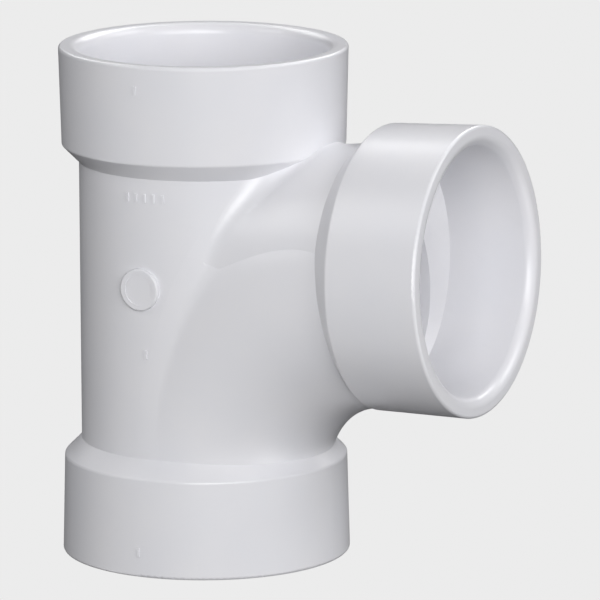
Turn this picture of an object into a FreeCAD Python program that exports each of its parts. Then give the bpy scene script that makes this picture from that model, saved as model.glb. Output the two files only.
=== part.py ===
"""Sanitary tee, 1-1/2 in (DN 40), PVC drain-waste-vent pattern, all sockets for solvent welding.

Frame: +Z up the run, +X along the branch, origin at the centre of the lower socket's mouth.
Millimetres.  The real fitting is one moulding.  Its nodes are the regions that the mould forms,
which meet face to face: three socket hubs, the run barrel, the swept branch neck, the gate pad
and the small raised marks.
"""
import FreeCAD, Part
import math
import os

Vector = FreeCAD.Vector
Rotation = FreeCAD.Rotation
Placement = FreeCAD.Placement

ORIGIN = Vector(0, 0, 0)
ALONG_X = Vector(1, 0, 0)
ALONG_Y = Vector(0, 1, 0)
ALONG_Z = Vector(0, 0, 1)

# --- Driving dimensions, mm and degrees ---------------------------------------------------

OVERALL_HEIGHT = 100.4       # lower mouth to upper mouth
BRANCH_HEIGHT = 58.5         # where the branch axis leaves the run axis
BRANCH_REACH = 59.6          # run axis to branch mouth, along the branch axis
BRANCH_PITCH = 1.9           # upwards, so that the branch drains into the run

PIPE_RADIUS = 24.13          # pipe of 1.900 in outside diameter
SOCKET_CLEARANCE = 0.12      # radial gap that the solvent cement fills
SOCKET_DEPTH = 18.1          # mouth to stop ledge
WATERWAY_RADIUS = 20.2
LEDGE_SLOPE = 0.7            # the stop ledge falls this much per millimetre towards the axis
WALL = 4.2

RUN_MOUTH_RADIUS = 28.25
BRANCH_MOUTH_RADIUS = 28.2
HUB_BASE_RADIUS = 27.75      # mould draft makes a hub slimmer away from its mouth
HUB_BASE_ROUND = 0.7
RUN_HUB_LENGTH = 19.3        # mouth to the 45 degree shoulder
BRANCH_HUB_LENGTH = 19.2
OUTER_RIM_ROUND = 0.6
INNER_RIM_ROUND = 2.0

SWEEP_RADIUS = 42.15         # centreline of the curved lower half of the branch
SWEEP_START = 14.6           # height where that centreline leaves the run axis
SWEEP_TUBE_RADIUS = 24.3
NECK_RADIUS = 23.0           # straight upper half of the branch, at the branch hub's shoulder
NECK_TAPER = 0.08            # radius lost per millimetre from there towards the run
NECK_RISE = 0.65             # of its centreline above the branch hub's
VALLEY_ROUND = 5.0           # blend where the branch grows out of the barrel

SEAM_BOTTOM = -2.5           # X of the line between barrel and neck: at the barrel's bottom,
SEAM_MIDDLE = 3.5            # at SEAM_MIDDLE_HEIGHT
SEAM_MIDDLE_HEIGHT = 52.0
SEAM_TOP = 17.5              # and at the barrel's top

GATE_RADIUS = 4.1
GATE_X = -1.05
GATE_HEIGHT = 56.1
GATE_PROUD = 0.8
GATE_EDGE_ROUND = 0.35
GATE_DISH_RADIUS = 3.0
GATE_DISH_DEPTH = 0.15

MARK_WIDTH = 0.45
MARK_LENGTH = 1.7
MARK_PROUD = 0.25
MARK_SPACING = 1.9
MARK_ROW_COUNT = 5
MARK_ROW_HEIGHT = 74.0
CENTRE_MARK_HEIGHT = 43.3
HUB_MARK_INSET = 4.9         # from the mouth of either run hub

PAST = 5.0                   # how far a cutting body runs past what it cuts

# --- Sizes that follow --------------------------------------------------------------------

SOCKET_RADIUS = PIPE_RADIUS + SOCKET_CLEARANCE
BODY_RADIUS = WATERWAY_RADIUS + WALL
BARREL_BOTTOM = RUN_HUB_LENGTH + HUB_BASE_RADIUS - BODY_RADIUS
BARREL_TOP = OVERALL_HEIGHT - BARREL_BOTTOM
NECK_END = BRANCH_REACH - BRANCH_HUB_LENGTH - (HUB_BASE_RADIUS - NECK_RADIUS)
LEDGE_REACH = BRANCH_REACH - SOCKET_DEPTH

pitch = math.radians(BRANCH_PITCH)
BRANCH_DIRECTION = Vector(math.cos(pitch), 0, math.sin(pitch))
BRANCH_MOUTH = Vector(0, 0, BRANCH_HEIGHT) + BRANCH_DIRECTION * BRANCH_REACH

UPSIDE_DOWN_ON_TOP = Placement(Vector(0, 0, OVERALL_HEIGHT), Rotation(ALONG_X, 180))

# Each hub is made at the origin, mouth down on Z = 0, and then placed: name, straight length,
# radius at its mouth, radius that its shoulder comes down to, placement.
HUBS = [
    ("lower_hub", RUN_HUB_LENGTH, RUN_MOUTH_RADIUS, BODY_RADIUS, Placement()),
    ("upper_hub", RUN_HUB_LENGTH, RUN_MOUTH_RADIUS, BODY_RADIUS, UPSIDE_DOWN_ON_TOP),
    ("branch_hub", BRANCH_HUB_LENGTH, BRANCH_MOUTH_RADIUS, NECK_RADIUS,
     Placement(BRANCH_MOUTH, Rotation(ALONG_Y, -90 - BRANCH_PITCH))),
]


# --- Shape helpers ------------------------------------------------------------------------

def placed(shape, placement):
    moved = shape.copy()
    moved.Placement = placement
    return moved


def turned(outline):
    """Solid of revolution about Z from (radius, height) corners."""
    corners = [Vector(radius, 0, height) for radius, height in outline]
    face = Part.Face(Part.makePolygon(corners + corners[:1]))
    return face.revolve(ORIGIN, ALONG_Z, 360)


def cone(bottom_radius, top_radius, bottom, top):
    """Cone or cylinder on Z between two heights."""
    return turned([(0, bottom), (bottom_radius, bottom), (top_radius, top), (0, top)])


def rings(shape, radius, centre):
    """The circular edges of one radius about one point."""
    return [
        edge for edge in shape.Edges
        if isinstance(edge.Curve, Part.Circle)
        and abs(edge.Curve.Radius - radius) < 0.01
        and edge.Curve.Center.distanceToPoint(centre) < 0.01
    ]


def lies_on_barrel(edge):
    """Whether the middle of an edge lies on the barrel's surface."""
    middle = edge.valueAt((edge.FirstParameter + edge.LastParameter) / 2)
    return abs(math.hypot(middle.x, middle.y) - BODY_RADIUS) < 0.01


# --- The moulding -------------------------------------------------------------------------

def hub_blank(length, mouth_radius, shoulder_radius):
    """Solid outside of a hub, standing on its mouth."""
    shoulder_end = length + HUB_BASE_RADIUS - shoulder_radius
    blank = turned([
        (0, 0),
        (mouth_radius, 0),
        (HUB_BASE_RADIUS, length),
        (shoulder_radius, shoulder_end),
        (0, shoulder_end),
    ])
    return blank.makeFillet(HUB_BASE_ROUND, rings(blank, HUB_BASE_RADIUS, Vector(0, 0, length)))


def straight_branch(wall_inset, end):
    """Tapered upper half of the branch, from the run axis out to a given reach."""
    def radius_at(reach):
        return NECK_RADIUS - NECK_TAPER * (NECK_END - reach) - wall_inset

    turn = Rotation(ALONG_Y, 90 - BRANCH_PITCH)
    blank = cone(radius_at(0), radius_at(end), 0, end)
    return placed(blank, Placement(Vector(0, 0, BRANCH_HEIGHT + NECK_RISE), turn))


def swept_branch(radius, tail):
    """Curved lower half of the branch: a bend from the run axis, then a short straight tail."""
    pivot = Vector(SWEEP_RADIUS, 0, SWEEP_START)
    section = Part.Face(Part.Wire(Part.makeCircle(radius, Vector(0, 0, SWEEP_START), ALONG_Z)))
    bend = section.revolve(pivot, ALONG_Y, 90 - BRANCH_PITCH)
    section.rotate(pivot, ALONG_Y, 90 - BRANCH_PITCH)
    return bend.fuse(section.extrude(BRANCH_DIRECTION * tail))


def branched_barrel():
    """Outside of the barrel with its branch, blended where they meet."""
    barrel = cone(BODY_RADIUS, BODY_RADIUS, 0, OVERALL_HEIGHT)
    upper = straight_branch(0, LEDGE_REACH + PAST)
    lower = swept_branch(SWEEP_TUBE_RADIUS, 1)
    joined = barrel.fuse([upper, lower])
    valleys = [edge for edge in joined.Edges
               if isinstance(edge.Curve, Part.BSplineCurve) and lies_on_barrel(edge)]
    return joined.makeFillet(VALLEY_ROUND, valleys)


def hollows():
    """Everything that is open: the run, the branch and the three sockets."""
    run = cone(WATERWAY_RADIUS, WATERWAY_RADIUS, -PAST, OVERALL_HEIGHT + PAST)
    socket = turned([
        (0, -PAST),
        (SOCKET_RADIUS, -PAST),
        (SOCKET_RADIUS, SOCKET_DEPTH),
        (0, SOCKET_DEPTH + LEDGE_SLOPE * SOCKET_RADIUS),
    ])
    sockets = [placed(socket, placement) for _, _, _, _, placement in HUBS]
    upper = straight_branch(WALL, LEDGE_REACH + 1)
    lower = swept_branch(SWEEP_TUBE_RADIUS - WALL, 3)
    return [run, upper, lower] + sockets


def barrel_side():
    """Everything on the barrel's side of the line between barrel and neck."""
    bottom = Vector(SEAM_BOTTOM, 0, BARREL_BOTTOM)
    middle = Vector(SEAM_MIDDLE, 0, SEAM_MIDDLE_HEIGHT)
    top = Vector(SEAM_TOP, 0, BARREL_TOP)
    far = -RUN_MOUTH_RADIUS - PAST
    seam = Part.Arc(bottom, middle, top).toShape()
    rest = Part.makePolygon([top, Vector(far, 0, BARREL_TOP), Vector(far, 0, BARREL_BOTTOM), bottom])
    face = Part.Face(Part.Wire([seam] + rest.Edges))
    face.translate(ALONG_Y * far)
    return face.extrude(ALONG_Y * -2 * far)


def with_round_mouth(hub, mouth_radius, mouth):
    hub = hub.makeFillet(OUTER_RIM_ROUND, rings(hub, mouth_radius, mouth))
    return hub.makeFillet(INNER_RIM_ROUND, rings(hub, SOCKET_RADIUS, mouth))


def moulding_regions():
    blanks = {name: placed(hub_blank(length, mouth_radius, shoulder_radius), placement)
              for name, length, mouth_radius, shoulder_radius, placement in HUBS}
    solid = branched_barrel().fuse(list(blanks.values()))
    moulding = solid.cut(hollows())
    regions = {}
    for name, _, mouth_radius, _, placement in HUBS:
        region = moulding.common(blanks[name])
        regions[name] = with_round_mouth(region, mouth_radius, placement.Base)
    middle = moulding.cut(list(blanks.values()))
    regions["run_barrel"] = middle.common(barrel_side())
    regions["branch_neck"] = middle.cut(barrel_side())
    return regions


# --- Raised details on the front, -Y, side ------------------------------------------------

def gate_pad():
    """Low disc left over the mould's gate, with a slightly sunk face."""
    front = Vector(GATE_X, -BODY_RADIUS - GATE_PROUD, GATE_HEIGHT)
    disc = Part.makeCylinder(GATE_RADIUS, WALL, front, ALONG_Y)
    disc = disc.makeFillet(GATE_EDGE_ROUND, rings(disc, GATE_RADIUS, front))
    dish = Part.makeCylinder(GATE_DISH_RADIUS, GATE_DISH_DEPTH, front, ALONG_Y)
    return disc.cut([dish, cone(BODY_RADIUS, BODY_RADIUS, 0, OVERALL_HEIGHT)])


def mark(x, height, body, body_radius):
    """One upright bar that stands proud of a body round the run axis."""
    low = height - MARK_LENGTH / 2
    radius = body_radius + MARK_PROUD
    disc = cone(radius, radius, low, low + MARK_LENGTH)
    corner = Vector(x - MARK_WIDTH / 2, -radius - PAST, low)
    return disc.common(Part.makeBox(MARK_WIDTH, radius, MARK_LENGTH, corner)).cut(body)


def mould_marks():
    barrel = cone(BODY_RADIUS, BODY_RADIUS, 0, OVERALL_HEIGHT)
    first = -MARK_SPACING * (MARK_ROW_COUNT - 1) / 2
    marks = [mark(first + MARK_SPACING * i, MARK_ROW_HEIGHT, barrel, BODY_RADIUS)
             for i in range(MARK_ROW_COUNT)]
    marks.append(mark(0, CENTRE_MARK_HEIGHT, barrel, BODY_RADIUS))
    lower_hub = hub_blank(RUN_HUB_LENGTH, RUN_MOUTH_RADIUS, BODY_RADIUS)
    upper_hub = placed(lower_hub, UPSIDE_DOWN_ON_TOP)
    draft = (RUN_MOUTH_RADIUS - HUB_BASE_RADIUS) / RUN_HUB_LENGTH
    hub_radius = RUN_MOUTH_RADIUS - draft * HUB_MARK_INSET
    marks.append(mark(0, HUB_MARK_INSET, lower_hub, hub_radius))
    marks.append(mark(0, OVERALL_HEIGHT - HUB_MARK_INSET, upper_hub, hub_radius))
    return Part.makeCompound(marks)


# --- Write the nodes ----------------------------------------------------------------------

def main():
    nodes = moulding_regions()
    nodes["gate_pad"] = gate_pad()
    nodes["mould_marks"] = mould_marks()
    os.makedirs("parts", exist_ok=True)
    for name, shape in nodes.items():
        shape.exportStep("parts/" + name + ".step")
        print(name, "solids", len(shape.Solids), "valid", shape.isValid(), "volume", round(shape.Volume))


main()
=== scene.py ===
"""White PVC drain tee, standing on its lower socket in soft studio light.

Metres, in the same frame as the CAD model: +Z up the run, +X along the branch.
"""
import math

import bpy
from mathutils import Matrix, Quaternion, Vector


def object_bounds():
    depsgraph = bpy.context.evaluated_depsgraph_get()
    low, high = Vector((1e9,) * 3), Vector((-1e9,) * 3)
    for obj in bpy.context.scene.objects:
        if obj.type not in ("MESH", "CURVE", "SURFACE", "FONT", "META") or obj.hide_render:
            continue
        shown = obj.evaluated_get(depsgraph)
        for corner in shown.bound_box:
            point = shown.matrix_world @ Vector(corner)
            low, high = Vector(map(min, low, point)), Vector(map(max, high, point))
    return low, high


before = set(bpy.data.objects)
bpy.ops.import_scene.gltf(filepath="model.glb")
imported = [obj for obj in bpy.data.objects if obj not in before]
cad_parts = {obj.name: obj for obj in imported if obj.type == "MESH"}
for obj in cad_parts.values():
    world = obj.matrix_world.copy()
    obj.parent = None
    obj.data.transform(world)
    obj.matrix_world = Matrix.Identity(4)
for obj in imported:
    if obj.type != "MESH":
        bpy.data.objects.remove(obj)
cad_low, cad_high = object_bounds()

HEIGHT = cad_high.z - cad_low.z

CAMERA_AZIMUTH = math.radians(27.30)     # round from the front, -Y, towards the branch
CAMERA_ELEVATION = math.radians(11.74)
CAMERA_ROLL = math.radians(-0.234)
CAMERA_DISTANCE = 1.278
LENS_MM = 391.6
SENSOR_MM = 36.0
AIM_RIGHT = 0.01858                      # the fitting stands left of the middle of the picture
AIM_UP = -0.0007
CLIP_START = 0.05
CLIP_END = 50

PVC_WARM = (0.800, 0.797, 0.826, 1)
PVC_COOL = (0.776, 0.778, 0.815, 1)
PVC_IOR = 1.53
ROUGHNESS = 0.30
GATE_ROUGHNESS = 0.42                    # the trimmed gate is duller
SMEAR = 0.02                             # how far the roughness wanders, broadly and finely
GRAIN = 0.006
DRAWN_UP = (420, 420, 30)                # texture scale: long streaks along the mould's draw
DRAWN_OUT = (30, 420, 420)
STREAK_SHARE = 0.6                       # of the bump, the rest is orange peel
BUMP_STRENGTH = 0.35
BUMP_HEIGHT = 0.00002
CLOUDS_NOISE = (70, 3)                   # scale and detail of each noise
SMEARS_NOISE = (45, 3)
GRAIN_NOISE = (700, 1)
STREAKS_NOISE = (1, 2)
PEEL_NOISE = (600, 2)
NOISE_LOW = 0.3                          # most of a noise lies between these
NOISE_HIGH = 0.7

FLOOR_GREY = 0.838
FLOOR_SIZE = 20
FLOOR_GAP = 0.0002                       # keeps the floor off the lower rim's flat face
LIGHTS_AIM = Vector((0.01, 0, 0.052))
LIGHT_DISTANCE = 1.1
LIGHT_SIZE = 0.55
KEY_WATTS = 7.25
LIGHTS = [
    # name, degrees round from the camera, degrees up, share of the key's power
    ("key", 0, 15, 1),
    ("key_fill", 30, 15, 1 / 2),
    ("side_right", 90, 40, 1 / 2),
    ("back_right", 150, 40, 3 / 4),
    ("back_left", 210, 40, 1 / 2),
    ("side_left", 285, 40, 1 / 3),
    ("low_right", 60, -35, 1 / 4),
    ("low_left", 270, -35, 1 / 4),
]


def direction(azimuth, elevation):
    """Unit vector from the fitting to something that looks at it from there."""
    flat = math.cos(elevation)
    return Vector((math.sin(azimuth) * flat, -math.cos(azimuth) * flat, math.sin(elevation)))


# --- Materials ----------------------------------------------------------------------------

def add_node(tree, kind, **inputs):
    node = tree.nodes.new(kind)
    for name, value in inputs.items():
        node.inputs[name].default_value = value
    return node


def noise(tree, place, scale, detail):
    node = add_node(tree, "ShaderNodeTexNoise", Scale=scale, Detail=detail)
    tree.links.new(place, node.inputs["Vector"])
    return node.outputs["Fac"]


def spread(tree, value, low, high):
    """Stretch the middle of a noise over a range."""
    node = tree.nodes.new("ShaderNodeMapRange")
    limits = {"From Min": NOISE_LOW, "From Max": NOISE_HIGH, "To Min": low, "To Max": high}
    for name, number in limits.items():
        node.inputs[name].default_value = number
    tree.links.new(value, node.inputs["Value"])
    return node.outputs["Result"]


def total(tree, first, second):
    node = tree.nodes.new("ShaderNodeMath")
    node.operation = "ADD"
    tree.links.new(first, node.inputs[0])
    tree.links.new(second, node.inputs[1])
    return node.outputs["Value"]


def pvc(name, roughness, draw):
    """Glossy moulded PVC: faint clouding, uneven gloss, draw streaks and orange peel."""
    material = bpy.data.materials.new(name)
    material.use_nodes = True
    tree = material.node_tree
    bsdf = tree.nodes["Principled BSDF"]
    bsdf.inputs["IOR"].default_value = PVC_IOR
    place = tree.nodes.new("ShaderNodeTexCoord").outputs["Object"]

    clouds = spread(tree, noise(tree, place, *CLOUDS_NOISE), 0, 1)
    colour = tree.nodes.new("ShaderNodeMix")
    colour.data_type = "RGBA"
    colour.inputs["A"].default_value = PVC_WARM
    colour.inputs["B"].default_value = PVC_COOL
    tree.links.new(clouds, colour.inputs["Factor"])
    tree.links.new(colour.outputs["Result"], bsdf.inputs["Base Color"])

    smears = spread(tree, noise(tree, place, *SMEARS_NOISE), roughness - SMEAR, roughness + SMEAR)
    grain = spread(tree, noise(tree, place, *GRAIN_NOISE), -GRAIN, GRAIN)
    tree.links.new(total(tree, smears, grain), bsdf.inputs["Roughness"])

    stretched = tree.nodes.new("ShaderNodeMapping")
    stretched.inputs["Scale"].default_value = draw
    tree.links.new(place, stretched.inputs["Vector"])
    streaks = spread(tree, noise(tree, stretched.outputs["Vector"], *STREAKS_NOISE), 0, STREAK_SHARE)
    peel = spread(tree, noise(tree, place, *PEEL_NOISE), 0, 1 - STREAK_SHARE)
    bump = add_node(tree, "ShaderNodeBump", Strength=BUMP_STRENGTH, Distance=BUMP_HEIGHT)
    tree.links.new(total(tree, streaks, peel), bump.inputs["Height"])
    tree.links.new(bump.outputs["Normal"], bsdf.inputs["Normal"])
    return material


def dress():
    """Give every region of the moulding its own PVC."""
    for name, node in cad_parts.items():
        roughness = GATE_ROUGHNESS if name == "gate_pad" else ROUGHNESS
        draw = DRAWN_OUT if name == "branch_hub" else DRAWN_UP
        node.data.materials.clear()
        node.data.materials.append(pvc("pvc_" + name, roughness, draw))


# --- Stage --------------------------------------------------------------------------------

def add_floor():
    """Pale sweep that shows its own even grey, and neither shades the fitting nor lights it."""
    bpy.ops.mesh.primitive_plane_add(size=FLOOR_SIZE, location=(0, 0, cad_low.z - FLOOR_GAP))
    floor = bpy.context.object
    floor.name = "floor"
    material = bpy.data.materials.new("floor")
    material.use_nodes = True
    bsdf = material.node_tree.nodes["Principled BSDF"]
    bsdf.inputs["Base Color"].default_value = (0, 0, 0, 1)
    bsdf.inputs["Specular IOR Level"].default_value = 0
    bsdf.inputs["Emission Color"].default_value = (FLOOR_GREY, FLOOR_GREY, FLOOR_GREY, 1)
    bsdf.inputs["Emission Strength"].default_value = 1
    floor.data.materials.append(material)
    floor.visible_diffuse = False
    floor.visible_glossy = False
    floor.visible_shadow = False


def add_lights():
    """Soft square lights round the fitting. The low pair shine up through the shadowless floor."""
    for name, azimuth, elevation, share in LIGHTS:
        away = direction(CAMERA_AZIMUTH + math.radians(azimuth), math.radians(elevation))
        data = bpy.data.lights.new(name, "AREA")
        data.shape = "SQUARE"
        data.size = LIGHT_SIZE
        data.energy = KEY_WATTS * share
        light = bpy.data.objects.new(name, data)
        light.location = LIGHTS_AIM + away * LIGHT_DISTANCE
        light.rotation_mode = "QUATERNION"
        light.rotation_quaternion = (-away).to_track_quat("-Z", "Y")
        bpy.context.scene.collection.objects.link(light)
    world = bpy.data.worlds.new("world")
    world.use_nodes = True
    world.node_tree.nodes["Background"].inputs["Strength"].default_value = 0
    bpy.context.scene.world = world


def add_camera():
    """The viewpoint: from the front right, a little above, through a long lens."""
    back = direction(CAMERA_AZIMUTH, CAMERA_ELEVATION)
    right = Vector((math.cos(CAMERA_AZIMUTH), math.sin(CAMERA_AZIMUTH), 0))
    up = back.cross(right)
    data = bpy.data.cameras.new("camera")
    data.lens = LENS_MM
    data.sensor_width = SENSOR_MM
    data.clip_start = CLIP_START
    data.clip_end = CLIP_END
    camera = bpy.data.objects.new("camera", data)
    target = Vector((0, 0, HEIGHT / 2)) + right * AIM_RIGHT + up * AIM_UP
    camera.location = target + back * CAMERA_DISTANCE
    camera.rotation_mode = "QUATERNION"
    camera.rotation_quaternion = (-back).to_track_quat("-Z", "Y") @ Quaternion((0, 0, 1), CAMERA_ROLL)
    bpy.context.scene.collection.objects.link(camera)
    bpy.context.scene.camera = camera


dress()
add_floor()
add_lights()
add_camera()
bpy.context.scene.view_settings.view_transform = "Standard"
